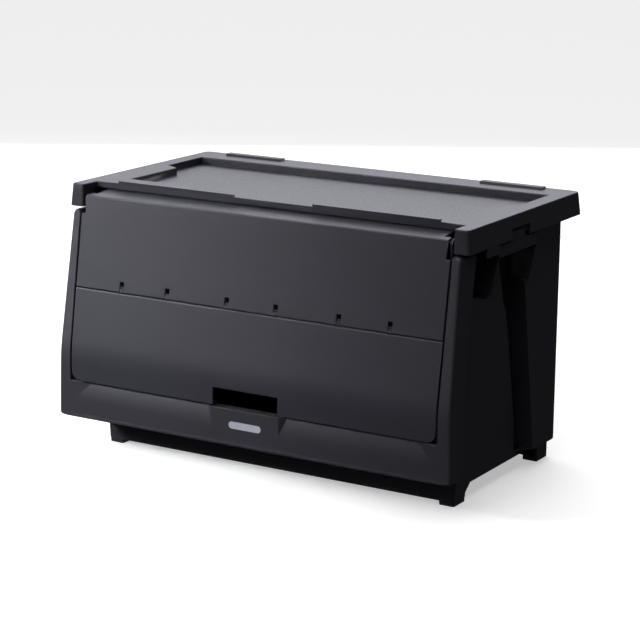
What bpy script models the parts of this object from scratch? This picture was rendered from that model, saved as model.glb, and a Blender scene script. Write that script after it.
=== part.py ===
"""Front-opening stacking tote: a moulded tub, a clip-on lid and a two-panel folding front door.

Metres, +Z up, the door faces -Y. The origin is on the floor, under the centre of the footprint.
"""

import math

import bmesh
import bpy
from mathutils import Matrix, Vector

MM = 0.001
WALL = 3.0  # moulded wall, mm; every size below is in mm

# Lid
LID_HALF_X = 302.5
LID_FRONT_Y = -149.0
LID_REAR_Y = 180.5
LID_TOP_Z = 371.0
SKIRT_HIGH = 31.0
SKIRT_FLARE = 3.0
LID_FRONT_R = 6.0
LID_REAR_R = 9.0
EAR_INNER_X = 282.3
BAND_Y = -118.0
BAND_LOW_Z = 363.0
RECESS_DEEP = 10.5
RECESS_WIDE_X = 278.0
RECESS_NARROW_X = 255.0
RECESS_FRONT_Y = -79.0
RECESS_JOG_Y = 45.0
RECESS_REAR_Y = 130.0
GUIDE_HIGH = 3.2
LID_LIFT_GAP = 0.5

# Front of the tote: vertical up to the bend, then leaning back
FRONT_Y = -183.5
BEND_Z = 146.0
BEND_HALF = 15.0
LEAN = 0.152
APRON_LOW_Z = 53.0
WING_TOP_Z = 337.5
WING_LOW_X = 304.0
WING_TOP_X = 296.0
WING_FRONT_R = 4.0
WING_END_R = 7.0
JAMB_X = 283.8
STOP_X = 268.0
STOP_DEEP = 16.0
SILL_Z = 104.0

# Tub
PLINTH_X = 272.0
PLINTH_FRONT_Y = -110.0
PANEL_TOP_X = 288.0
PANEL_TOP_Z = 272.0
REAR_Y = 164.0
REAR_PANEL_Y = 152.0
COLUMN_X = 290.0
COLUMN_LOW_Z = 30.0
TUB_TOP_Z = LID_TOP_Z - WALL - LID_LIFT_GAP
FLOOR_Z = 26.0
PLINTH_LOW_Z = 6.0
ARCH_Z = 23.0
ARCH_Y = (-79.3, 125.5)
REAR_FOOT = ((255.0, 126.0), (276.5, 158.0))
CORNER_R = 20.0

# Side handle
HANDLE_FRONT_Y = -63.6
HANDLE_REAR_Y = 47.4
HANDLE_X = 302.7
HANDLE_LOW_Z = 321.0
HANDLE_TOP_Z = 337.5
HANDLE_RIB_LOW_Z = 272.0
GRIP_DEEP_X = 262.0
CATCH_Y = (-27.0, 12.0)
CATCH_TOP_Z = 349.5
NOTCH_Y = (-30.0, 20.5)
NOTCH_TOP_Z = 353.5
LID_TAB_Y = (-101.5, -67.0)
LID_TAB_LOW_Z = 328.0

# Door
DOOR_X = 281.3
DOOR_NECK_X = 275.5
DOOR_BACK_X = 265.5
DOOR_STEP_Z = 333.0
DOOR_TOP_Z = 362.2
DOOR_EDGE_Z = 356.0
DOOR_CORNER_R = 12.0
DOOR_LOW_Z = 105.3
FOLD_Z = 233.0
FOLD_GAP = 0.7
FLANGE_REAR_Y = -113.0
DOOR_RIB_DEEP = 11.0
CUTOUT_HALF_X = 50.0
CUTOUT_TOP_Z = 129.3
PIVOT_Y = -140.0
PIVOT_Z = 350.0
PIVOT_PIN_R = 2.5
PIVOT_SWING_R = 34.0
POST_X = (276.9, 280.3)
HINGE_PAIRS = ((-206.2, -131.9), (-37.6, 37.6), (131.9, 206.2))
FOLD_PIN_R = 1.6
FOLD_PIN_UP = 4.4
FOLD_PIN_BEHIND = 2.6
FOLD_EDGE = 1.0
WINDOW_WIDE = 6.5
WINDOW_HIGH = 9.0
RUNNING_GAP = 0.3


def front_y(z):
    """Front surface of the wings and the door at a height: upright, then leaning back past a soft bend."""
    past = z - BEND_Z + BEND_HALF
    if past <= 0.0:
        return FRONT_Y
    if past < 2 * BEND_HALF:
        return FRONT_Y + LEAN * past**2 / (4 * BEND_HALF)
    return FRONT_Y + LEAN * (z - BEND_Z)


def bend_line(behind):
    """Points up the soft bend, set a distance behind the front surface."""
    levels = [BEND_Z + BEND_HALF * share for share in (-1.0, -0.5, 0.0, 0.5, 1.0)]
    return [(front_y(z) + behind, z) for z in levels]


def rounded(outline, radii, steps=3):
    """The outline with an arc in place of each corner that has a radius."""
    found = []
    for i, radius in enumerate(radii):
        corner = Vector(outline[i])
        if not radius:
            found.append(tuple(corner))
            continue
        to_last = (Vector(outline[i - 1]) - corner).normalized()
        to_next = (Vector(outline[(i + 1) % len(outline)]) - corner).normalized()
        half = to_last.angle(to_next) / 2
        centre = corner + (to_last + to_next).normalized() * radius / math.sin(half)
        start = corner + to_last * radius / math.tan(half) - centre
        turn = start.angle_signed(corner + to_next * radius / math.tan(half) - centre)
        for step in range(steps + 1):
            angle = -turn * step / steps
            found.append((centre.x + start.x * math.cos(angle) - start.y * math.sin(angle),
                          centre.y + start.x * math.sin(angle) + start.y * math.cos(angle)))
    return found


def wing_x(z):
    """Outer half-width of the front wings at a height."""
    share = (z - APRON_LOW_Z) / (WING_TOP_Z - APRON_LOW_Z)
    return WING_LOW_X + (WING_TOP_X - WING_LOW_X) * share


def clear_scene():
    for thing in list(bpy.data.objects):
        bpy.data.objects.remove(thing, do_unlink=True)
    for group in list(bpy.data.collections):
        bpy.data.collections.remove(group)


def new_collection(name, hidden):
    group = bpy.data.collections.new(name)
    group.hide_render = hidden
    bpy.context.scene.collection.children.link(group)
    return group


def moulding(name, colour, roughness, metallic=0.0):
    """A plain finish for one sub-part."""
    material = bpy.data.materials.new(name)
    material.use_nodes = True
    shader = material.node_tree.nodes["Principled BSDF"]
    shader.inputs["Base Color"].default_value = (*colour, 1.0)
    shader.inputs["Roughness"].default_value = roughness
    shader.inputs["Metallic"].default_value = metallic
    return material


def place_mesh(name, mesh, group):
    thing = bpy.data.objects.new(name, mesh)
    group.objects.link(thing)
    return thing


def scaled_to_metres(bm):
    bmesh.ops.transform(bm, matrix=Matrix.Scale(MM, 4), verts=bm.verts)


def box(name, low, high, group):
    """A box between two corners, in mm."""
    bm = bmesh.new()
    bmesh.ops.create_cube(bm, size=1.0)
    size = [b - a for a, b in zip(low, high)]
    middle = [(a + b) / 2 for a, b in zip(low, high)]
    bmesh.ops.transform(bm, matrix=Matrix.LocRotScale(middle, None, size), verts=bm.verts)
    scaled_to_metres(bm)
    mesh = bpy.data.meshes.new(name)
    bm.to_mesh(mesh)
    bm.free()
    return place_mesh(name, mesh, group)


# Columns are where an outline's first axis, second axis and thickness point.
AXES = {
    "X": Matrix(((0, 0, 1), (1, 0, 0), (0, 1, 0))),
    "Y": Matrix(((1, 0, 0), (0, 0, -1), (0, 1, 0))),
    "Z": Matrix(((1, 0, 0), (0, 1, 0), (0, 0, 1))),
}


def prism(name, outline, axis, low, high, group):
    """A flat outline given a thickness along an axis, from low to high, in mm.

    The outline's points are (y, z) along X, (x, z) along Y and (x, y) along Z.
    """
    curve = bpy.data.curves.new(name, "CURVE")
    curve.dimensions = "2D"
    curve.fill_mode = "BOTH"
    curve.extrude = (high - low) / 2
    spline = curve.splines.new("POLY")
    spline.points.add(len(outline) - 1)
    for point, (u, v) in zip(spline.points, outline):
        point.co = (u, v, 0.0, 1.0)
    spline.use_cyclic_u = True
    guide = bpy.data.objects.new(name + "_outline", curve)
    group.objects.link(guide)
    middle = (low + high) / 2
    along = {"X": (middle, 0, 0), "Y": (0, middle, 0), "Z": (0, 0, middle)}[axis]
    guide.matrix_world = Matrix.Translation(along) @ AXES[axis].to_4x4()
    bpy.context.view_layer.update()
    evaluated = guide.evaluated_get(bpy.context.evaluated_depsgraph_get())
    mesh = bpy.data.meshes.new_from_object(evaluated)
    mesh.transform(guide.matrix_world)
    bpy.data.objects.remove(guide, do_unlink=True)
    bm = bmesh.new()
    bm.from_mesh(mesh)
    bmesh.ops.remove_doubles(bm, verts=bm.verts, dist=0.01)
    bmesh.ops.recalc_face_normals(bm, faces=bm.faces)
    scaled_to_metres(bm)
    bm.to_mesh(mesh)
    bm.free()
    mesh.name = name
    return place_mesh(name, mesh, group)


def rod(name, radius, low_x, high_x, y, z, sides, group):
    """A round bar along X, in mm."""
    turn = math.tau / sides
    ring = [(y + radius * math.cos(turn * i), z + radius * math.sin(turn * i)) for i in range(sides)]
    return prism(name, ring, "X", low_x, high_x, group)


def mirrored(thing, name):
    """The same shape on the other side of the tote."""
    mesh = thing.data.copy()
    mesh.transform(Matrix.Scale(-1, 4, (1, 0, 0)))
    mesh.flip_normals()
    mesh.name = name
    return place_mesh(name, mesh, thing.users_collection[0])


def boolean(thing, other, operation):
    """Adds a Boolean. EXACT leaves open edges where a rib's face lies in a wall's, so this is MANIFOLD."""
    change = thing.modifiers.new(operation.lower(), "BOOLEAN")
    change.operation = operation
    change.solver = "MANIFOLD"
    change.object = other


def apply_modifiers(thing):
    """Makes the modifiers' result the object's own mesh."""
    bpy.context.view_layer.update()
    evaluated = thing.evaluated_get(bpy.context.evaluated_depsgraph_get())
    mesh = bpy.data.meshes.new_from_object(evaluated)
    thing.modifiers.clear()
    mesh.name = thing.name
    thing.data = mesh


def combine(thing, joined=(), cut=(), kept=()):
    """Joins, cuts and trims a solid with others, then removes those others."""
    for operation, others in (("UNION", joined), ("DIFFERENCE", cut), ("INTERSECT", kept)):
        for other in others:
            boolean(thing, other, operation)
            apply_modifiers(thing)
            bpy.data.objects.remove(other, do_unlink=True)
    return thing


def panel_outline(inset, low, top):
    """Cross-section of the tub, whose sides lean out from the plinth to the handles."""
    foot = PLINTH_X - inset
    waist = PANEL_TOP_X - inset
    half = [(foot, low), (waist, PANEL_TOP_Z), (waist, top)]
    return half + [(-x, z) for x, z in reversed(half)]


def column_outline(inset, low, top):
    """Side view of a rear corner column, whose front edge leans forward."""
    edge = [(82.0, COLUMN_LOW_Z), (20.0, 339.0)]
    slope = (edge[1][0] - edge[0][0]) / (edge[1][1] - edge[0][1])
    front = [(edge[0][0] + slope * (z - edge[0][1]) + inset, z) for z in (low, top)]
    return [front[0], (REAR_Y - inset, low), (REAR_Y - inset, top), front[1]]


def front_outline(behind, low, top, rear):
    """Side view of the front, set a distance behind its outer face."""
    return [
        (front_y(low) + behind, low),
        (rear, low),
        (rear, top),
        (front_y(top) + behind, top),
        *reversed(bend_line(behind)),
    ]


def grip_outline(grow):
    """Side view of the finger hollow under the handle, which narrows to a groove down the panel."""
    front = [(-62.0, 335.8), (-62.0, 323.0), (-33.0, 310.0), (-16.0, 257.0), (-4.0, 239.0), (21.0, 168.0),
             (50.0, 78.0), (59.0, 31.0)]
    rear = [(84.0, 31.0), (41.0, 272.0), (46.0, 276.0), (46.0, 335.8)]
    return [(y - grow, z) for y, z in front] + [(y + grow, z) for y, z in rear]


def pocket_outline(grow):
    """Side view of the pocket between the front wing and the handle."""
    rear = HANDLE_FRONT_Y + 1.4 + grow
    return [(-106.0 - grow, 277.0 - grow), (rear, 267.0 - grow), (rear, 336.4), (-106.0 - grow, 336.4)]


def side_hollows(grow, deep_x, group):
    """The grip and the pocket of both sides, as solids for a cut."""
    found = []
    for label, outline in (("grip", grip_outline(grow)), ("pocket", pocket_outline(grow))):
        right = prism(label + "_right", outline, "X", deep_x, 330.0, group)
        found += [right, mirrored(right, label + "_left")]
    return found


def tub_cavity(group):
    """The space inside the tub, with a step up over the front shelf."""
    cavity = prism("cavity", panel_outline(WALL, FLOOR_Z, 400.0), "Y", PLINTH_FRONT_Y + WALL, REAR_PANEL_Y - WALL,
                   group)
    half = COLUMN_X - WALL
    corner = prism("corner_room", column_outline(WALL, COLUMN_LOW_Z + WALL, 400.0), "X", -half, half, group)
    rear = box("rear_panel_room", (-240.0, REAR_PANEL_Y - WALL - 2.0, 0.0), (240.0, 200.0, TUB_TOP_Z - 40.0), group)
    round_rear_corners(corner, REAR_Y - WALL, CORNER_R - WALL)
    combine(corner, cut=[rear])
    half = STOP_X + 1.0
    outline = front_outline(STOP_DEEP, APRON_LOW_Z + WALL, 400.0, PLINTH_FRONT_Y + 20.0)
    shelf = prism("shelf_room", outline, "X", -half, half, group)
    combine(cavity, joined=[corner, shelf])
    return combine(cavity, cut=side_hollows(WALL, GRIP_DEEP_X - WALL, group))


def wing_behind(group):
    """The space behind each front wing, outside the tub's side panel."""
    outline = [(-151.0, 20.0), (-150.0, 55.0), (-141.0, 187.0), (-122.5, 285.0), (-116.0, 316.0), (-108.0, 345.0),
               (20.0, 345.0), (20.0, 20.0)]
    space = prism("wing_behind", outline, "X", 240.0, 330.0, group)
    foot, waist = PLINTH_X - 1.0, PANEL_TOP_X - 1.0
    beside = [(foot, PLINTH_LOW_Z), (waist, PANEL_TOP_Z), (waist, 350.0), (330.0, 350.0), (330.0, PLINTH_LOW_Z)]
    combine(space, kept=[prism("beside_panel", beside, "Y", -200.0, 60.0, group)])
    return [space, mirrored(space, "wing_behind_left")]


def wing_channel(group):
    """The open channel inside each front wing."""
    low, top = APRON_LOW_Z + WALL, WING_TOP_Z - WALL
    channel = prism("wing_channel", front_outline(WALL, low, top, -110.0), "X", JAMB_X + WALL, 330.0, group)
    trim = [(JAMB_X, low - 1), (wing_x(low) - WALL, low - 1), (wing_x(top) - WALL, top + 1), (JAMB_X, top + 1)]
    combine(channel, kept=[prism("channel_trim", trim, "Y", -220.0, 0.0, group)])
    return [channel, mirrored(channel, "wing_channel_left")]


def door_bay(group):
    """The space in front of the tub that the door fills, and the opening behind it."""
    rear = STOP_DEEP - WALL
    outline = [(-220.0, SILL_Z), (front_y(SILL_Z) + rear, SILL_Z), *bend_line(rear), (front_y(400.0) + rear, 400.0),
               (-220.0, 400.0)]
    bay = prism("door_bay", outline, "X", -JAMB_X, JAMB_X, group)
    mouth = box("door_mouth", (-STOP_X, -220.0, SILL_Z + 14.0), (STOP_X, PLINTH_FRONT_Y, 400.0), group)
    finger = box("finger_room", (-CUTOUT_HALF_X - 8.0, -220.0, SILL_Z - 1.0), (CUTOUT_HALF_X + 8.0, -150.0, 150.0),
                 group)
    swing_x = DOOR_X + 1.3
    swing = rod("door_swing", PIVOT_SWING_R, -swing_x, swing_x, PIVOT_Y, PIVOT_Z, 24, group)
    profile = [(-190.0, 74.0), (FRONT_Y, 78.0), (FRONT_Y + 7.0, SILL_Z), (FRONT_Y + 7.0, SILL_Z + 2),
               (-190.0, SILL_Z + 2)]
    outer = JAMB_X - 5.0
    plan = [(50.0, -200.0), (52.0, FRONT_Y), (62.0, FRONT_Y + 7.5), (outer - 30.0, FRONT_Y + 7.5), (outer, FRONT_Y),
            (outer + 1.0, -200.0)]
    scoops = [prism("scoop_right", profile, "X", 40.0, JAMB_X, group)]
    combine(scoops[0], kept=[prism("scoop_plan", plan, "Z", 60.0, 130.0, group)])
    scoops.append(mirrored(scoops[0], "scoop_left"))
    return [bay, mouth, finger, swing, *scoops]


def base_cuts(group):
    """The hollow under the floor, and the arches between the feet."""
    under = box("underside", (-PLINTH_X + WALL, PLINTH_FRONT_Y + WALL, -10.0),
                (PLINTH_X - WALL, REAR_PANEL_Y - WALL, FLOOR_Z - WALL), group)
    arch = [(ARCH_Y[0], -10.0), (ARCH_Y[1], -10.0), (ARCH_Y[1], ARCH_Z), (ARCH_Y[0] + 12.0, ARCH_Z), (ARCH_Y[0], 12.0)]
    side_arch = prism("side_arch", arch, "X", -330.0, 330.0, group)
    return [under, side_arch]


def feet(group):
    """Four corner feet."""
    low_y = PLINTH_FRONT_Y + 0.5
    found = [box("front_foot", (250.0, low_y, 0.0), (PLINTH_X - 0.5, low_y + 30.0, FLOOR_Z - 1), group)]
    found.append(box("rear_foot", (*REAR_FOOT[0], 0.0), (*REAR_FOOT[1], COLUMN_LOW_Z + 1.5), group))
    found += [mirrored(foot, foot.name + "_left") for foot in found]
    return found


def handles(group):
    """A handle on each side: a flush plate with a catch for the lid, a web and two ribs."""
    inner = HANDLE_X - WALL
    plate = box("handle", (inner, HANDLE_FRONT_Y, HANDLE_LOW_Z), (HANDLE_X, HANDLE_REAR_Y, HANDLE_TOP_Z), group)
    catch = box("handle_catch", (inner - 0.7, CATCH_Y[0], HANDLE_LOW_Z + 2.0),
                (HANDLE_X - 0.7, CATCH_Y[1], CATCH_TOP_Z), group)
    web = box("handle_web", (PANEL_TOP_X - 1.5, HANDLE_FRONT_Y, HANDLE_TOP_Z - WALL),
              (HANDLE_X - 1, HANDLE_REAR_Y, HANDLE_TOP_Z), group)
    root_x = GRIP_DEEP_X - 1.0
    profile = [(root_x, HANDLE_RIB_LOW_Z), (293.0, HANDLE_RIB_LOW_Z), (HANDLE_X - 0.3, HANDLE_LOW_Z),
               (HANDLE_X - 0.3, HANDLE_TOP_Z - 0.5), (root_x, HANDLE_TOP_Z - 0.5)]
    ribs = [prism("handle_rib", profile, "Y", y, y + WALL, group) for y in (HANDLE_FRONT_Y, HANDLE_REAR_Y - WALL)]
    combine(plate, joined=[catch, web, *ribs])
    return [plate, mirrored(plate, "handle_left")]


def pivot_posts(group):
    """The upright lug on each wing that carries the door's top pin."""
    outline = [(-145.5, 320.0), (-148.0, 345.0), (-148.0, 352.0), (-144.0, 357.0), (-128.0, 357.0), (-122.0, 350.0),
               (-122.0, 300.0), (-144.5, 300.0)]
    post = prism("pivot_post", outline, "X", *POST_X, group)
    combine(post, cut=[rod("pivot_hole", PIVOT_PIN_R + RUNNING_GAP, 250.0, 300.0, PIVOT_Y, PIVOT_Z, 16, group)])
    return [post, mirrored(post, "pivot_post_left")]


def front_block(group):
    """The solid that the wings and the apron are cut from, with rounded outer corners."""
    block = prism("front_block", front_outline(0.0, APRON_LOW_Z, WING_TOP_Z, -100.0), "X", -320.0, 320.0, group)
    half = [(wing_x(APRON_LOW_Z), APRON_LOW_Z), (wing_x(WING_TOP_Z), WING_TOP_Z)]
    face = half + [(-x, z) for x, z in reversed(half)]
    trim = rounded(face, (4.0, WING_END_R, WING_END_R, 4.0))
    combine(block, kept=[prism("front_trim", trim, "Y", -220.0, 0.0, group)])
    bm = bmesh.new()
    bm.from_mesh(block.data)

    def at_front(vertex):
        z = vertex.co.z / MM
        return vertex.co.y / MM < front_y(z) + 0.5 and abs(vertex.co.x) / MM > wing_x(z) - WING_END_R - 1.0

    edges = [e for e in bm.edges if all(at_front(v) for v in e.verts) and e.calc_face_angle(0.0) > math.radians(60.0)]
    bmesh.ops.bevel(bm, geom=edges, offset=WING_FRONT_R * MM, segments=3, profile=0.5, affect="EDGES")
    bm.to_mesh(block.data)
    bm.free()
    return block


def build_tub(parts, cutters):
    """The one-piece body: plinth, panels, wings, apron, columns and handles."""
    tub = prism("body", panel_outline(0.0, PLINTH_LOW_Z, TUB_TOP_Z), "Y", PLINTH_FRONT_Y, REAR_PANEL_Y, parts)
    front = front_block(cutters)
    columns = prism("columns", column_outline(0.0, COLUMN_LOW_Z, TUB_TOP_Z), "X", -COLUMN_X, COLUMN_X, cutters)
    rear_panel = box("rear_panel", (-237.0, REAR_PANEL_Y - 2.0, -10.0), (237.0, 200.0, TUB_TOP_Z - 43.0), cutters)
    round_rear_corners(columns, REAR_Y, CORNER_R)
    combine(columns, cut=[rear_panel])
    combine(front, cut=wing_behind(cutters))
    combine(tub, joined=[front, columns])
    combine(tub, cut=side_hollows(0.0, GRIP_DEEP_X, cutters))
    combine(tub, cut=wing_channel(cutters))
    combine(tub, cut=[tub_cavity(cutters)])
    combine(tub, joined=handles(cutters))
    combine(tub, cut=[*door_bay(cutters), *base_cuts(cutters)])
    return combine(tub, joined=[*feet(cutters), *pivot_posts(cutters)])


def round_rear_corners(thing, rear_y, radius):
    """Rounds the two upright rear edges of a solid, in mm."""
    bm = bmesh.new()
    bm.from_mesh(thing.data)
    rear = rear_y * MM - 1e-4
    edges = [e for e in bm.edges
             if all(v.co.y > rear for v in e.verts) and abs(e.verts[0].co.z - e.verts[1].co.z) > 0.1]
    bmesh.ops.bevel(bm, geom=edges, offset=radius * MM, segments=5, profile=0.5, affect="EDGES")
    bm.to_mesh(thing.data)
    bm.free()


def recess_outline(grow):
    """Plan of the stacking recess, narrower in front of the jog."""
    half = [(RECESS_NARROW_X + grow, RECESS_FRONT_Y - grow), (RECESS_NARROW_X + grow, RECESS_JOG_Y - grow - 12.0),
            (RECESS_WIDE_X + grow, RECESS_JOG_Y - grow), (RECESS_WIDE_X + grow, RECESS_REAR_Y + grow)]
    return half + [(-x, y) for x, y in reversed(half)]


def lid_outline(inset):
    """Plan of the lid: its band is set back between two ears."""
    ear = EAR_INNER_X + inset
    half = [(ear, BAND_Y + inset), (ear, LID_FRONT_Y + inset), (LID_HALF_X - inset, LID_FRONT_Y + inset),
            (LID_HALF_X - inset, LID_REAR_Y - inset)]
    radii = [0.0, 3.0 - inset / 2, LID_FRONT_R - inset, LID_REAR_R - inset]
    return rounded(half + [(-x, y) for x, y in reversed(half)], radii + radii[::-1])


def flare(thing):
    """Leans the outer faces of the lid's skirt out towards its lower edge."""
    low = (LID_TOP_Z - SKIRT_HIGH / 2) * MM
    for vertex in thing.data.vertices:
        if vertex.co.z > low:
            continue
        if abs(vertex.co.x) > (EAR_INNER_X + 7.0) * MM:
            vertex.co.x += math.copysign(SKIRT_FLARE * MM, vertex.co.x)
        if vertex.co.y > (LID_REAR_Y - LID_REAR_R - 1.0) * MM:
            vertex.co.y += SKIRT_FLARE * MM
        if vertex.co.y < (LID_FRONT_Y + LID_FRONT_R + 1.0) * MM:
            vertex.co.y -= SKIRT_FLARE / 2 * MM


def build_lid(parts, cutters):
    """The lid: a flared skirt, a rim and a tray recessed for the tote above."""
    low = LID_TOP_Z - SKIRT_HIGH
    lid = prism("lid", lid_outline(0.0), "Z", low, LID_TOP_Z, parts)
    flare(lid)
    inside = prism("lid_inside", lid_outline(WALL), "Z", low - 1.0, LID_TOP_Z - WALL, cutters)
    flare(inside)
    tray_low = LID_TOP_Z - RECESS_DEEP - WALL
    combine(inside, cut=[prism("tray_room", recess_outline(WALL), "Z", tray_low, LID_TOP_Z + 1, cutters)])
    recess = prism("recess", recess_outline(0.0), "Z", LID_TOP_Z - RECESS_DEEP, LID_TOP_Z + 5, cutters)
    half = EAR_INNER_X + WALL
    under_band = box("under_band", (-half, BAND_Y - 5.0, 300.0), (half, BAND_Y + 6.0, BAND_LOW_Z), cutters)
    combine(lid, cut=[inside, recess, under_band])
    outer = LID_HALF_X + SKIRT_FLARE
    added = {
        "lid_tab": ((outer - WALL, LID_TAB_Y[0], LID_TAB_LOW_Z), (outer - 0.3, LID_TAB_Y[1], low + 2.0)),
        "front_guide": ((61.0, BAND_Y, LID_TOP_Z - 1), (246.0, BAND_Y + 5.0, LID_TOP_Z + GUIDE_HIGH)),
        "rear_guide": ((161.0, 160.0, LID_TOP_Z - 1), (255.0, 172.0, LID_TOP_Z + GUIDE_HIGH)),
    }
    for name, corners in added.items():
        right = box(name, *corners, cutters)
        combine(lid, joined=[right, mirrored(right, name + "_left")])
    notch = box("lid_notch", (LID_HALF_X - 6.0, NOTCH_Y[0], 300.0), (outer + 10.0, NOTCH_Y[1], NOTCH_TOP_Z), cutters)
    combine(lid, cut=[notch, mirrored(notch, "lid_notch_left")])
    return lid


def panel_sheet(name, points, half_x, group):
    """A door panel's sheet: its outer line, given the wall's thickness behind it."""
    behind = [(y + WALL, z) for y, z in reversed(points)]
    return prism(name, points + behind, "X", -half_x, half_x, group)


def pin_place(z_up):
    """Fold pin's centre: above the fold and behind the front plane."""
    z = FOLD_Z + z_up
    return front_y(z) + FOLD_PIN_BEHIND, z


def windows(group):
    """The six openings above the fold that show the hinge hooks."""
    found = []
    y, z = pin_place(FOLD_PIN_UP)
    for pair in HINGE_PAIRS:
        for x in pair:
            low = (x - WINDOW_WIDE / 2, y - 20.0, FOLD_Z - 2.0)
            high = (x + WINDOW_WIDE / 2, y + 20.0, z + FOLD_PIN_R + WINDOW_HIGH)
            found.append(box("window", low, high, group))
    return found


def build_door_upper(parts, cutters):
    """The upper panel, with its top flange, end plates, ribs and the three hinge beads."""
    low = FOLD_Z + FOLD_GAP / 2
    edge_y = front_y(DOOR_EDGE_Z)
    slope = (DOOR_TOP_Z - DOOR_EDGE_Z - 1.2) / (FLANGE_REAR_Y - edge_y - 1.2)
    pivot_top = DOOR_TOP_Z - slope * (FLANGE_REAR_Y - PIVOT_Y)
    face = [(front_y(low) + FOLD_EDGE, low), (front_y(low + FOLD_EDGE), low + FOLD_EDGE), (edge_y, DOOR_EDGE_Z),
            (edge_y + 1.2, DOOR_EDGE_Z + 1.2), (PIVOT_Y, pivot_top)]
    inner = [(PIVOT_Y, pivot_top - WALL), (edge_y + WALL + 1.2, DOOR_EDGE_Z - 2.0),
             (front_y(346.0) + WALL, 346.0), (front_y(low) + WALL, low)]
    panel = prism("door_upper", face + inner, "X", -DOOR_X, DOOR_X, parts)
    ahead = PIVOT_Y - 1.0, pivot_top - slope
    sheet = [ahead, (FLANGE_REAR_Y, DOOR_TOP_Z), (FLANGE_REAR_Y, DOOR_TOP_Z - WALL), (ahead[0], ahead[1] - WALL)]
    flange = prism("top_flange", sheet, "X", -DOOR_BACK_X, DOOR_BACK_X, cutters)
    pin_y, pin_z = pin_place(FOLD_PIN_UP)
    beads = []
    for pair in HINGE_PAIRS:
        corners = (pair[0] - 12.0, pin_y - 1.8, low + FOLD_EDGE), (pair[1] + 12.0, pin_y + 5.0, pin_z + 4.5)
        beads.append(box("bead", *corners, cutters))
    top = [(front_y(345.0) + 4.0, DOOR_EDGE_Z - 1.0), (front_y(345.0) + 2, 345.0)]
    end_plate = [(front_y(255.0) + 2, 255.0), (front_y(255.0) + DOOR_RIB_DEEP, 255.0), (-143.5, 338.0),
                 (-130.0, 342.0), (-126.0, 350.0), (-128.0, DOOR_TOP_Z - 3.2), *top]
    rib = [(front_y(250.0) + 2, 250.0), (front_y(250.0) + DOOR_RIB_DEEP - 3, 250.0), (-143.5, 345.0),
           (-122.0, DOOR_TOP_Z - 2.2), *top]
    plates = [prism("end_plate", end_plate, "X", DOOR_BACK_X - WALL, DOOR_BACK_X, cutters)]
    plates.append(mirrored(plates[0], "end_plate_left"))
    ribs = [prism("door_rib", rib, "X", x - 1.2, x + 1.2, cutters) for x in (-169.0, -84.5, 0.0, 84.5, 169.0)]
    combine(panel, joined=[flange, *beads, *plates, *ribs])
    neck = [box("neck_cut", (DOOR_NECK_X, -220.0, DOOR_STEP_Z), (330.0, -100.0, 400.0), cutters)]
    neck.append(mirrored(neck[0], "neck_cut_left"))
    pivot_hole = rod("pivot_hole", PIVOT_PIN_R + RUNNING_GAP, -330.0, 330.0, PIVOT_Y, PIVOT_Z, 16, cutters)
    pin_hole = rod("pin_hole", FOLD_PIN_R + RUNNING_GAP, -330.0, 330.0, pin_y, pin_z, 12, cutters)
    return combine(panel, cut=[*neck, *windows(cutters), pivot_hole, pin_hole])


def hook(x, group):
    """A hook that grips the fold pin from behind, open to the front."""
    y, z = pin_place(FOLD_PIN_UP)
    inner, outer = FOLD_PIN_R + 0.4, FOLD_PIN_R + 2.3
    turns = [math.radians(75.0 + 30.0 * step) for step in range(8)]
    ring = [(y - outer * math.cos(t), z + outer * math.sin(t)) for t in turns]
    ring += [(y - inner * math.cos(t), z + inner * math.sin(t)) for t in reversed(turns)]
    half = WINDOW_WIDE / 2 - 0.75
    shank = [(y - 1.2, z - inner - 0.3), (y - 1.2, z - 9.0), (y + outer, z - 7.0), (y + outer, z - 1.0),
             (y + inner + 0.2, z - 1.0)]
    claw = prism("hook", ring, "X", x - half, x + half, group)
    stem = prism("hook_stem", shank, "X", x - half + 0.05, x + half - 0.05, group)
    return combine(claw, joined=[stem], cut=[rod("hook_bore", inner, x - 9.0, x + 9.0, y, z, 24, group)])


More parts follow.
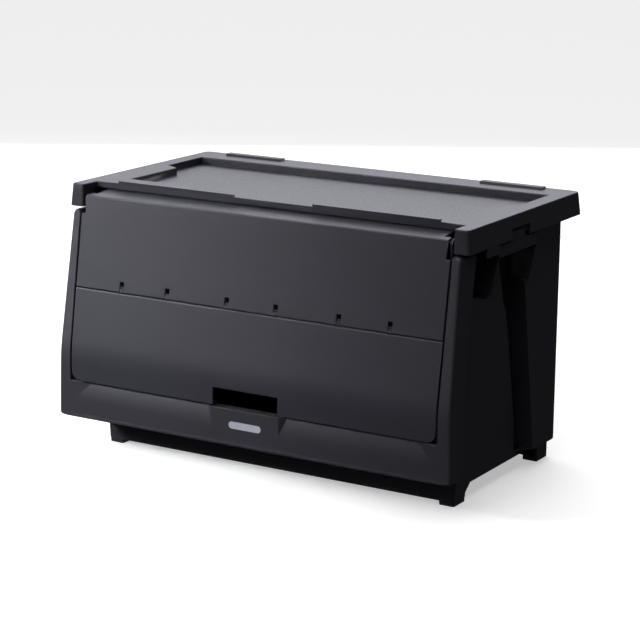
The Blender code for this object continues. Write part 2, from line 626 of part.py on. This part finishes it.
def build_door_lower(parts, cutters):
    """The lower panel, bent upright at its foot, with the finger cut-out and six hinge hooks."""
    high = FOLD_Z - FOLD_GAP / 2
    face = [(FRONT_Y, DOOR_LOW_Z), *bend_line(0.0), (front_y(high - FOLD_EDGE), high - FOLD_EDGE),
            (front_y(high) + FOLD_EDGE, high)]
    panel = panel_sheet("door_lower", face, DOOR_X, parts)
    side = [(FRONT_Y + 2, DOOR_LOW_Z), (FRONT_Y + DOOR_RIB_DEEP, DOOR_LOW_Z), (FRONT_Y + DOOR_RIB_DEEP, BEND_Z),
            (front_y(215.0) + DOOR_RIB_DEEP, 215.0), (front_y(215.0) + 2, 215.0), (front_y(BEND_Z) + 2, BEND_Z)]
    edge_x = DOOR_X - 1.5
    places = (-edge_x, -169.0, -84.5, 84.5, 169.0, edge_x)
    ribs = [prism("edge_rib", side, "X", x - 1.4, x + 1.4, cutters) for x in places]
    back = FRONT_Y + DOOR_RIB_DEEP
    lip = box("foot_lip", (-edge_x, FRONT_Y + 1.5, DOOR_LOW_Z), (edge_x, back, DOOR_LOW_Z + WALL), cutters)
    hood_x = CUTOUT_HALF_X + 3
    hood = box("cutout_hood", (-hood_x, FRONT_Y + 1.5, CUTOUT_TOP_Z), (hood_x, back, CUTOUT_TOP_Z + WALL), cutters)
    combine(panel, joined=[*ribs, lip, hood])
    cutout = box("cutout", (-CUTOUT_HALF_X, -230.0, 60.0), (CUTOUT_HALF_X, -150.0, CUTOUT_TOP_Z), cutters)
    face = [(-DOOR_X, DOOR_LOW_Z), (DOOR_X, DOOR_LOW_Z), (DOOR_X, 240.0), (-DOOR_X, 240.0)]
    trim = prism("door_trim", rounded(face, (DOOR_CORNER_R, DOOR_CORNER_R, 0.0, 0.0)), "Y", -220.0, -120.0, cutters)
    combine(panel, cut=[cutout], kept=[trim])
    return combine(panel, joined=[hook(x, cutters) for pair in HINGE_PAIRS for x in pair])


def build_pins(parts):
    """The three fold pins and the two top pivot pins."""
    y, z = pin_place(FOLD_PIN_UP)
    pins = []
    for label, pair in zip(("left", "middle", "right"), HINGE_PAIRS):
        pins.append(rod("fold_pin_" + label, FOLD_PIN_R, pair[0] - 10.0, pair[1] + 10.0, y, z, 12, parts))
    right = rod("pivot_pin_right", PIVOT_PIN_R, DOOR_BACK_X - WALL - 2.0, POST_X[1], PIVOT_Y, PIVOT_Z, 16, parts)
    return [*pins, right, mirrored(right, "pivot_pin_left")]


def move_origin(thing, y, z):
    """Puts a moving piece's origin on its joint's axis."""
    place = Matrix.Translation((0.0, y * MM, z * MM))
    thing.data.transform(place.inverted())
    thing.matrix_world = place


def main():
    clear_scene()
    parts = new_collection("front_opening_tote", False)
    cutters = new_collection("cutters", True)
    charcoal = (0.028, 0.029, 0.033)
    tub = build_tub(parts, cutters)
    lid = build_lid(parts, cutters)
    upper = build_door_upper(parts, cutters)
    lower = build_door_lower(parts, cutters)
    move_origin(upper, PIVOT_Y, PIVOT_Z)
    move_origin(lower, *pin_place(FOLD_PIN_UP))
    for thing in (tub, lid, upper, lower):
        thing.data.materials.clear()
        thing.data.materials.append(moulding(thing.name + "_polypropylene", charcoal, 0.5))
    for pin in build_pins(parts):
        pin.data.materials.clear()
        pin.data.materials.append(moulding(pin.name + "_steel", (0.45, 0.45, 0.46), 0.35, 1.0))
        pin.data.shade_smooth()
        pin.data.set_sharp_from_angle(angle=math.radians(40.0))
    bpy.context.view_layer.update()


main()
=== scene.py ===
"""Looks of a front-opening stacking tote: a moulded tub, an overhanging lid and a folding two-panel door.

Metres, +Z up, the door faces -Y. Every piece sits at the origin with its place in its mesh.
"""

import math

import bmesh
import bpy
from mathutils import Matrix, Vector


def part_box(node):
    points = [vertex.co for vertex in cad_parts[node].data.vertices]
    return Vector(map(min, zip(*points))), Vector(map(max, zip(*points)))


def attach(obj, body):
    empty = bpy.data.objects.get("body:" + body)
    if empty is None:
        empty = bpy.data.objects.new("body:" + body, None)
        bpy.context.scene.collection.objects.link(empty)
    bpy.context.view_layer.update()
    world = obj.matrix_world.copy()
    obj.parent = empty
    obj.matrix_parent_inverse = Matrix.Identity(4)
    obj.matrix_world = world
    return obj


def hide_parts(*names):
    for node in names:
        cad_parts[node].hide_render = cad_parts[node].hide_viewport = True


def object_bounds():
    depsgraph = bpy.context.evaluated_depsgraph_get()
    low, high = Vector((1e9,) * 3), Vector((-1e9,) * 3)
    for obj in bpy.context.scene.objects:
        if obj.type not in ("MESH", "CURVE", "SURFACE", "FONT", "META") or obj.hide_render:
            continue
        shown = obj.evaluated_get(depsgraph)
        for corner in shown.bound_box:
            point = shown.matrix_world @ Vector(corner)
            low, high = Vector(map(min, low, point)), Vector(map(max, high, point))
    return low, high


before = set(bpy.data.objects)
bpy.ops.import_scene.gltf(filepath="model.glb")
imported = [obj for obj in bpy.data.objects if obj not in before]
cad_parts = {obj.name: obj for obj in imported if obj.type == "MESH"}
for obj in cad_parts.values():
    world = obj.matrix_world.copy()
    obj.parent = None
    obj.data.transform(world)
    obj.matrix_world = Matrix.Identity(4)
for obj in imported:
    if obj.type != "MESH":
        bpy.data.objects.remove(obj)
CAD_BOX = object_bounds()

bl_info = {
    "name": "Front-opening tote",
    "version": (1, 0, 0),
    "blender": (4, 5, 0),
    "location": "3D View > Sidebar > Tote",
    "description": "Builds the visible pieces of a stacking tote with a folding front door",
    "category": "Object",
}

MM = 0.001

LID_LOW, LID_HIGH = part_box("lid")
BODY_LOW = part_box("body")[0]

# The plates that close the foot of each hinge window, in front of the hooks
HOOK_X = (0.0376, 0.1319, 0.2062)
PLATE_LEAN = -0.1509  # radians back from upright
PLATE_SIZE = (5.6 * MM, 1.5 * MM, 3.6 * MM)
PLATE_Z = 0.2346
PLATE_Y = -0.16928

# The plain printed bar on the apron
MARK_Z = 0.082
MARK_HALF = 0.020
MARK_R = 0.0048

# How far the moulded grain moves the roughness, and the flow the colour, either way
SPECK = 0.08
DRIFT = 0.06

# The lid's rim below its highest point, and how far in from its sides and front its outer edges run
LID_RIM_DROP = 3.2 * MM
LID_SIDE_BAND = 7 * MM
LID_FRONT_BAND = 5 * MM


def linear(hex_colour):
    """An sRGB hex colour as linear red, green and blue."""
    found = []
    for start in (1, 3, 5):
        share = int(hex_colour[start : start + 2], 16) / 255
        found.append(share / 12.92 if share <= 0.04045 else ((share + 0.055) / 1.055) ** 2.4)
    return tuple(found)


def add_node(tree, kind, props=None, values=None, links=None):
    """Adds a node, sets its properties and sockets, and feeds its sockets from other outputs."""
    node = tree.nodes.new(kind)
    for name, value in (props or {}).items():
        setattr(node, name, value)
    for name, value in (values or {}).items():
        node.inputs[name].default_value = value
    for name, output in (links or {}).items():
        tree.links.new(output, node.inputs[name])
    return node


def new_material(name):
    """A material with its node tree and its Principled BSDF."""
    material = bpy.data.materials.new(name)
    material.use_nodes = True
    return material, material.node_tree, material.node_tree.nodes["Principled BSDF"]


def moulded_polypropylene(name, colour, roughness, grain, depth):
    """Charcoal polypropylene from a spark-eroded mould.

    The grain breaks each highlight up into a soft satin sheen, and the colour drifts a little with the flow.
    Its real grain is about 0.3 mm; it is drawn coarser, so that it shows at this distance.
    """
    material, tree, shader = new_material(name)
    place = add_node(tree, "ShaderNodeTexCoord").outputs["Object"]
    fine = add_node(tree, "ShaderNodeTexNoise", values={"Scale": 1 / grain, "Detail": 3.0, "Roughness": 0.65},
                    links={"Vector": place})
    flow = add_node(tree, "ShaderNodeTexNoise", values={"Scale": 9.0, "Detail": 2.0}, links={"Vector": place})
    tint = add_node(tree, "ShaderNodeMix", props={"data_type": "RGBA"}, links={"Factor": flow.outputs["Fac"]})
    tint.inputs["A"].default_value = (*[c * (1 - DRIFT) for c in colour], 1.0)
    tint.inputs["B"].default_value = (*[c * (1 + DRIFT) for c in colour], 1.0)
    speck = add_node(tree, "ShaderNodeMapRange", links={"Value": fine.outputs["Fac"]},
                     values={"From Min": 0.35, "From Max": 0.65,
                             "To Min": roughness - SPECK, "To Max": roughness + SPECK})
    bump = add_node(tree, "ShaderNodeBump", values={"Strength": 0.5, "Distance": depth},
                    links={"Height": fine.outputs["Fac"]})
    tree.links.new(tint.outputs["Result"], shader.inputs["Base Color"])
    tree.links.new(speck.outputs["Result"], shader.inputs["Roughness"])
    tree.links.new(bump.outputs["Normal"], shader.inputs["Normal"])
    shader.inputs["IOR"].default_value = 1.49
    return material


def printed_bar(material, colour):
    """Prints a plain round-ended bar on the apron, over the moulded plastic: paler than it."""
    tree = material.node_tree
    shader = tree.nodes["Principled BSDF"]
    place = add_node(tree, "ShaderNodeTexCoord").outputs["Object"]
    part = add_node(tree, "ShaderNodeSeparateXYZ", links={"Vector": place}).outputs
    along = add_node(tree, "ShaderNodeMath", props={"operation": "ABSOLUTE"}, links={0: part["X"]})
    past = add_node(tree, "ShaderNodeMath", props={"operation": "SUBTRACT"}, values={1: MARK_HALF},
                    links={0: along.outputs[0]})
    end = add_node(tree, "ShaderNodeMath", props={"operation": "MAXIMUM"}, values={1: 0.0},
                   links={0: past.outputs[0]})
    up = add_node(tree, "ShaderNodeMath", props={"operation": "SUBTRACT"}, values={1: MARK_Z}, links={0: part["Z"]})
    spot = add_node(tree, "ShaderNodeCombineXYZ", links={"X": end.outputs[0], "Y": up.outputs[0]})
    away = add_node(tree, "ShaderNodeVectorMath", props={"operation": "LENGTH"}, links={0: spot.outputs[0]})
    inside = add_node(tree, "ShaderNodeMath", props={"operation": "LESS_THAN"}, values={1: MARK_R},
                      links={0: away.outputs["Value"]})
    front = add_node(tree, "ShaderNodeMath", props={"operation": "LESS_THAN"}, values={1: BODY_LOW.y + 2 * MM},
                     links={0: part["Y"]})
    both = add_node(tree, "ShaderNodeMath", props={"operation": "MULTIPLY"},
                    links={0: inside.outputs[0], 1: front.outputs[0]})
    ink = add_node(tree, "ShaderNodeMix", props={"data_type": "RGBA"}, links={"Factor": both.outputs[0]})
    tree.links.new(shader.inputs["Base Color"].links[0].from_socket, ink.inputs["A"])
    ink.inputs["B"].default_value = (*colour, 1.0)
    tree.links.new(ink.outputs["Result"], shader.inputs["Base Color"])


def drawn_steel(name, colour):
    """Dark oiled steel pin: fine rings round the pin stretch its highlight."""
    material, tree, shader = new_material(name)
    place = add_node(tree, "ShaderNodeTexCoord").outputs["Object"]
    turned = add_node(tree, "ShaderNodeMapping", values={"Scale": (900.0, 60.0, 60.0)}, links={"Vector": place})
    rings = add_node(tree, "ShaderNodeTexNoise", values={"Scale": 1.0, "Detail": 2.0},
                     links={"Vector": turned.outputs["Vector"]})
    rough = add_node(tree, "ShaderNodeMapRange", links={"Value": rings.outputs["Fac"]},
                     values={"To Min": 0.24, "To Max": 0.4})
    tree.links.new(rough.outputs["Result"], shader.inputs["Roughness"])
    shader.inputs["Base Color"].default_value = (*colour, 1.0)
    shader.inputs["Metallic"].default_value = 1.0
    return material


def clean_copy(node):
    """A node's mesh with its doubles merged and each flat surface made one face."""
    bm = bmesh.new()
    bm.from_mesh(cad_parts[node].data)
    bmesh.ops.remove_doubles(bm, verts=bm.verts, dist=0.01 * MM)
    bmesh.ops.dissolve_limit(bm, angle_limit=math.radians(0.4), verts=bm.verts, edges=bm.edges)
    bm.normal_update()
    return bm


def sharp(edge, least):
    """Whether two faces meet at the edge by more than the least angle, in degrees."""
    return len(edge.link_faces) == 2 and edge.calc_face_angle(0.0) > math.radians(least)


def round_edges(bm, wanted, radius, segments):
    """Rounds the edges that wanted picks."""
    edges = [edge for edge in bm.edges if sharp(edge, 20.0) and wanted(edge)]
    bmesh.ops.bevel(bm, geom=edges, offset=radius, segments=segments, profile=0.5, affect="EDGES",
                    offset_type="OFFSET", clamp_overlap=False, miter_outer="SHARP", harden_normals=False)
    bm.normal_update()


def plain_mesh(thing):
    """Makes the modifiers' result the object's own mesh."""
    bpy.context.view_layer.update()
    evaluated = thing.evaluated_get(bpy.context.evaluated_depsgraph_get())
    mesh = bpy.data.meshes.new_from_object(evaluated)
    thing.modifiers.clear()
    mesh.name = thing.name
    thing.data = mesh


def hook_plates(places, size, lean, material):
    """A small plate in front of each hinge hook, as one mesh."""
    tree = bpy.data.node_groups.new("hook_plates", "GeometryNodeTree")
    face = tree.interface
    face.new_socket("Geometry", in_out="INPUT", socket_type="NodeSocketGeometry")
    size_socket = face.new_socket("Plate size", in_out="INPUT", socket_type="NodeSocketVector")
    lean_socket = face.new_socket("Lean", in_out="INPUT", socket_type="NodeSocketFloat")
    face.new_socket("Geometry", in_out="OUTPUT", socket_type="NodeSocketGeometry")
    start = add_node(tree, "NodeGroupInput").outputs
    plate = add_node(tree, "GeometryNodeMeshCube", links={"Size": start["Plate size"]})
    turn = add_node(tree, "ShaderNodeCombineXYZ", links={"X": start["Lean"]})
    points = add_node(tree, "GeometryNodeMeshToPoints", links={"Mesh": start["Geometry"]})
    copies = add_node(tree, "GeometryNodeInstanceOnPoints", links={
        "Points": points.outputs["Points"], "Instance": plate.outputs["Mesh"], "Rotation": turn.outputs["Vector"]})
    real = add_node(tree, "GeometryNodeRealizeInstances", links={"Geometry": copies.outputs["Instances"]})
    painted = add_node(tree, "GeometryNodeSetMaterial", links={"Geometry": real.outputs["Geometry"]})
    painted.inputs["Material"].default_value = material
    add_node(tree, "NodeGroupOutput", links={"Geometry": painted.outputs["Geometry"]})
    mesh = bpy.data.meshes.new("hook_plates")
    mesh.from_pydata(places, [], [])
    thing = bpy.data.objects.new("hook_plates", mesh)
    bpy.context.scene.collection.objects.link(thing)
    made = thing.modifiers.new("plates", "NODES")
    made.node_group = tree
    made[size_socket.identifier] = size
    made[lean_socket.identifier] = lean
    plain_mesh(thing)
    found = thing.data
    bpy.data.objects.remove(thing, do_unlink=True)
    return found


def finish_piece(bm, name, body, nodes, material):
    """Makes the mesh an object that rides on its body and stands for its CAD nodes."""
    mesh = bpy.data.meshes.new(name)
    bm.to_mesh(mesh)
    bm.free()
    mesh.shade_smooth()
    mesh.set_sharp_from_angle(angle=math.radians(50.0))
    mesh.materials.append(material)
    thing = bpy.data.objects.new(name, mesh)
    bpy.context.scene.collection.objects.link(thing)
    level = thing.modifiers.new("flat_faces_level", "WEIGHTED_NORMAL")
    level.keep_sharp = True
    level.weight = 90
    plain_mesh(thing)
    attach(thing, body)
    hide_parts(*nodes)
    return thing


class ToteFinish(bpy.types.PropertyGroup):
    """Colours and moulded grain."""

    tub_colour: bpy.props.FloatVectorProperty(
        name="Tub colour", description="Charcoal of the tub's moulding", subtype="COLOR", size=3,
        min=0.0, max=1.0, default=linear("#26262a"))
    lid_colour: bpy.props.FloatVectorProperty(
        name="Lid colour", description="Charcoal of the lid's moulding", subtype="COLOR", size=3,
        min=0.0, max=1.0, default=linear("#26262a"))
    door_colour: bpy.props.FloatVectorProperty(
        name="Door colour", description="Charcoal of the door's mouldings", subtype="COLOR", size=3,
        min=0.0, max=1.0, default=linear("#26262b"))
    mark_colour: bpy.props.FloatVectorProperty(
        name="Mark colour", description="Light grey ink of the plain bar on the apron", subtype="COLOR", size=3,
        min=0.0, max=1.0, default=linear("#a5a6aa"))
    steel_colour: bpy.props.FloatVectorProperty(
        name="Pin colour", description="Dark oiled steel of the hinge pins", subtype="COLOR", size=3,
        min=0.0, max=1.0, default=linear("#3c3c3f"))
    grain: bpy.props.FloatProperty(
        name="Grain", description="Width of one grain of the mould's texture", unit="LENGTH", default=1.8 * MM)
    grain_depth: bpy.props.FloatProperty(
        name="Grain depth", description="Depth of the mould's texture", unit="LENGTH", default=0.2 * MM)


class ToteEdges(bpy.types.PropertyGroup):
    """Edge radii of the mouldings."""

    small: bpy.props.FloatProperty(
        name="Edge radius", description="Radius of a common moulded edge", unit="LENGTH", default=0.7 * MM)
    lid_top: bpy.props.FloatProperty(
        name="Lid edge radius", description="Radius of the lid's outer top edge", unit="LENGTH", default=1.8 * MM)


class ToteStage(bpy.types.PropertyGroup):
    """Floor, lights and camera."""

    floor_size: bpy.props.FloatProperty(
        name="Floor size", description="Side of the square floor", unit="LENGTH", default=40.0)
    overhead: bpy.props.FloatProperty(
        name="Overhead light", description="Strength of the soft overhead light", default=1.05)
    front_overhead: bpy.props.FloatProperty(
        name="Front overhead light", description="Strength of the soft light above the front", default=0.5)
    room_strength: bpy.props.FloatProperty(
        name="Room light", description="Strength of the light from all round", default=0.053)
    softboxes: bpy.props.FloatProperty(
        name="Softboxes", description="Strength of all softboxes together", default=1.0)


class ToteSettings(bpy.types.PropertyGroup):
    """Everything that can be changed about the tote."""

    finish: bpy.props.PointerProperty(type=ToteFinish)
    edges: bpy.props.PointerProperty(type=ToteEdges)
    stage: bpy.props.PointerProperty(type=ToteStage)


class TOTE_OT_tub(bpy.types.Operator):
    """The one-piece tub, with its edges rounded"""

    bl_idname = "tote.tub"
    bl_label = "Build tub"

    def execute(self, context):
        settings = context.scene.tote
        finish = settings.finish
        bm = clean_copy("body")
        round_edges(bm, lambda e: e.calc_length() > 3.0 * MM, settings.edges.small, 2)
        material = moulded_polypropylene("moulded_polypropylene_tub", finish.tub_colour, 0.5, finish.grain,
                                         finish.grain_depth)
        printed_bar(material, finish.mark_colour)
        finish_piece(bm, "tub_moulding", "tub", ["body"], material)
        return {"FINISHED"}


class TOTE_OT_lid(bpy.types.Operator):
    """The one-piece lid, with rounded corners and edges"""

    bl_idname = "tote.lid"
    bl_label = "Build lid"

    def execute(self, context):
        settings = context.scene.tote
        finish = settings.finish
        bm = clean_copy("lid")
        top = LID_HIGH.z - LID_RIM_DROP

        def top_rim(edge):
            return edge.is_convex and all(abs(v.co.z - top) < 0.2 * MM for v in edge.verts)

        def outside(vertex):
            spot = vertex.co
            front, rear = LID_LOW.y + LID_FRONT_BAND, LID_HIGH.y - LID_SIDE_BAND
            return abs(spot.x) > LID_HIGH.x - LID_SIDE_BAND or not front < spot.y < rear

        def common(edge):
            return edge.is_convex and all(outside(v) for v in edge.verts) and not top_rim(edge)

        round_edges(bm, common, settings.edges.small, 2)
        round_edges(bm, top_rim, settings.edges.lid_top, 3)
        material = moulded_polypropylene("moulded_polypropylene_lid", finish.lid_colour, 0.45, finish.grain,
                                         finish.grain_depth)
        finish_piece(bm, "lid_moulding", "lid", ["lid"], material)
        return {"FINISHED"}


class TOTE_OT_door(bpy.types.Operator):
    """The two door panels"""

    bl_idname = "tote.door"
    bl_label = "Build door"

    def execute(self, context):
        settings = context.scene.tote
        finish = settings.finish
        material = moulded_polypropylene("moulded_polypropylene_door", finish.door_colour, 0.45, finish.grain,
                                         finish.grain_depth)
        for node, name, body in (("door_upper", "upper_door_panel", "upper_panel"),
                                 ("door_lower", "lower_door_panel", "lower_panel")):
            bm = clean_copy(node)
            if node == "door_lower":
                places = [(side * x, PLATE_Y, PLATE_Z) for x in HOOK_X for side in (-1, 1)]
                bm.from_mesh(hook_plates(places, PLATE_SIZE, PLATE_LEAN, material))
            round_edges(bm, lambda e: e.calc_length() > 2.5 * MM, settings.edges.small, 2)
            finish_piece(bm, name, body, [node], material)
        return {"FINISHED"}


class TOTE_OT_pins(bpy.types.Operator):
    """The steel hinge pins' finish"""

    bl_idname = "tote.pins"
    bl_label = "Finish pins"

    def execute(self, context):
        steel = drawn_steel("drawn_steel_pin", context.scene.tote.finish.steel_colour)
        for name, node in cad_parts.items():
            if "pin" in name:
                node.data.materials.clear()
                node.data.materials.append(steel)
        return {"FINISHED"}


# Camera: where it stands in metres, the way it looks in degrees, and its lens in millimetres
CAMERA_PLACE = (1.4606, -2.4383, 0.8782)
CAMERA_AZIMUTH = 30.858
CAMERA_ELEVATION = 13.629
CAMERA_ROLL = 0.550
CAMERA_LENS = 120.45


# Colour of the lights
COOL_WHITE = (0.965, 0.96, 1.06)

# Softboxes: name, watts, place, what it faces, width, height and spread in degrees
SOFTBOXES = (
    ("back_softbox", 16.8, (-1.3, 2.1, 0.95), (0, 0, 0.3), 3.2, 1.9, 180.0),
    ("high_softbox", 21.8, (-0.8, 1.6, 1.6), (0, 0, 0.3), 2.4, 1.2, 180.0),
    ("front_softbox", 16.3, (0.3, -1.8, 1.9), (0, 0, 0.3), 1.6, 1.0, 180.0),
    ("left_softbox", 5.8, (-1.6, -1.9, 1.5), (0, 0, 0.2), 1.6, 1.6, 180.0),
    ("near_softbox", 1.4, (-0.95, -1.05, 0.85), (-0.1, 0, 0.15), 0.8, 0.8, 180.0),
    ("corner_beam", 1.9, (-1.7, -1.9, 1.3), (-0.28, -0.15, 0.08), 0.5, 0.5, 24.0),
)


def soft_light(name, power, place, target, width, height, spread):
    """A rectangular softbox that faces its target."""
    data = bpy.data.lights.new(name, "AREA")
    data.shape = "RECTANGLE"
    data.size = width
    data.size_y = height
    data.color = COOL_WHITE
    data.energy = power
    data.spread = math.radians(spread)
    lamp = bpy.data.objects.new(name, data)
    lamp.matrix_world = Matrix.LocRotScale(
        Vector(place), (Vector(target) - Vector(place)).to_track_quat("-Z", "Y"), None)
    bpy.context.scene.collection.objects.link(lamp)
    return lamp


class TOTE_OT_stage(bpy.types.Operator):
    """Pale floor, soft studio light and the camera"""

    bl_idname = "tote.stage"
    bl_label = "Build stage"

    def execute(self, context):
        stage = context.scene.tote.stage
        scene = context.scene
        scene.view_settings.view_transform = "Standard"
        half = stage.floor_size / 2
        low = CAD_BOX[0][2]
        bm = bmesh.new()
        square = ((-half, -half), (half, -half), (half, half), (-half, half))
        corners = [bm.verts.new((x, y, low)) for x, y in square]
        bm.faces.new(corners)
        mesh = bpy.data.meshes.new("floor")
        bm.to_mesh(mesh)
        bm.free()
        floor = bpy.data.objects.new("floor", mesh)
        scene.collection.objects.link(floor)
        paint, _, shader = new_material("pale_floor_paint")
        shader.inputs["Base Color"].default_value = (0.8, 0.805, 0.73, 1.0)
        shader.inputs["Emission Color"].default_value = (1.0, 1.0, 1.0, 1.0)
        shader.inputs["Emission Strength"].default_value = 0.45
        shader.inputs["Roughness"].default_value = 0.8
        shader.inputs["Specular IOR Level"].default_value = 0.0
        mesh.materials.append(paint)
        floor.visible_glossy = False
        floor.visible_diffuse = False

        suns = (("overhead", stage.overhead, -8.0), ("front_overhead", stage.front_overhead, 30.0))
        for name, strength, lean in suns:
            sun = bpy.data.lights.new(name, "SUN")
            sun.energy = strength
            sun.angle = math.radians(70.0)
            sun.color = COOL_WHITE
            lamp = bpy.data.objects.new(name, sun)
            lamp.rotation_euler = (math.radians(lean), math.radians(-6.0), 0.0)
            scene.collection.objects.link(lamp)
        for name, power, *rest in SOFTBOXES:
            soft_light(name, power * stage.softboxes, *rest)

        world = bpy.data.worlds.new("studio")
        world.use_nodes = True
        scene.world = world
        tree = world.node_tree
        seen = add_node(tree, "ShaderNodeLightPath").outputs["Is Camera Ray"]
        white = add_node(tree, "ShaderNodeBackground", values={"Color": (1, 1, 1, 1), "Strength": 1.0})
        room = tree.nodes["Background"]
        room.inputs["Color"].default_value = (*COOL_WHITE, 1)
        room.inputs["Strength"].default_value = stage.room_strength
        both = add_node(tree, "ShaderNodeMixShader", links={0: seen, 1: room.outputs[0], 2: white.outputs[0]})
        tree.links.new(both.outputs[0], tree.nodes["World Output"].inputs["Surface"])

        data = bpy.data.cameras.new("camera")
        data.lens = CAMERA_LENS
        camera = bpy.data.objects.new("camera", data)
        turn, lift, roll = (math.radians(v) for v in (CAMERA_AZIMUTH, CAMERA_ELEVATION, CAMERA_ROLL))
        back = Vector((math.sin(turn) * math.cos(lift), -math.cos(turn) * math.cos(lift), math.sin(lift)))
        side = Vector((math.cos(turn), math.sin(turn), 0.0))
        up = back.cross(side)
        right = side * math.cos(roll) + up * math.sin(roll)
        top = up * math.cos(roll) - side * math.sin(roll)
        axes = Matrix((right, top, back)).transposed()
        camera.matrix_world = Matrix.Translation(CAMERA_PLACE) @ axes.to_4x4()
        scene.collection.objects.link(camera)
        scene.camera = camera
        return {"FINISHED"}


class TOTE_PT_panel(bpy.types.Panel):
    """Lists the tote's operators and settings"""

    bl_idname = "TOTE_PT_panel"
    bl_label = "Front-opening tote"
    bl_space_type = "VIEW_3D"
    bl_region_type = "UI"
    bl_category = "Tote"

    def draw(self, context):
        for operator in OPERATORS:
            self.layout.operator(operator.bl_idname)
        for group in ("finish", "edges", "stage"):
            settings = getattr(context.scene.tote, group)
            box = self.layout.box()
            for name in settings.bl_rna.properties.keys():
                if name not in ("rna_type", "name"):
                    box.prop(settings, name)


OPERATORS = (TOTE_OT_tub, TOTE_OT_lid, TOTE_OT_door, TOTE_OT_pins, TOTE_OT_stage)
CLASSES = (ToteFinish, ToteEdges, ToteStage, ToteSettings, *OPERATORS, TOTE_PT_panel)


def register():
    for made in CLASSES:
        bpy.utils.register_class(made)
    bpy.types.Scene.tote = bpy.props.PointerProperty(type=ToteSettings)


def unregister():
    del bpy.types.Scene.tote
    for made in reversed(CLASSES):
        bpy.utils.unregister_class(made)


def main():
    register()
    bpy.ops.tote.tub()
    bpy.ops.tote.lid()
    bpy.ops.tote.door()
    bpy.ops.tote.pins()
    bpy.ops.tote.stage()


if __name__ == "__main__":
    main()
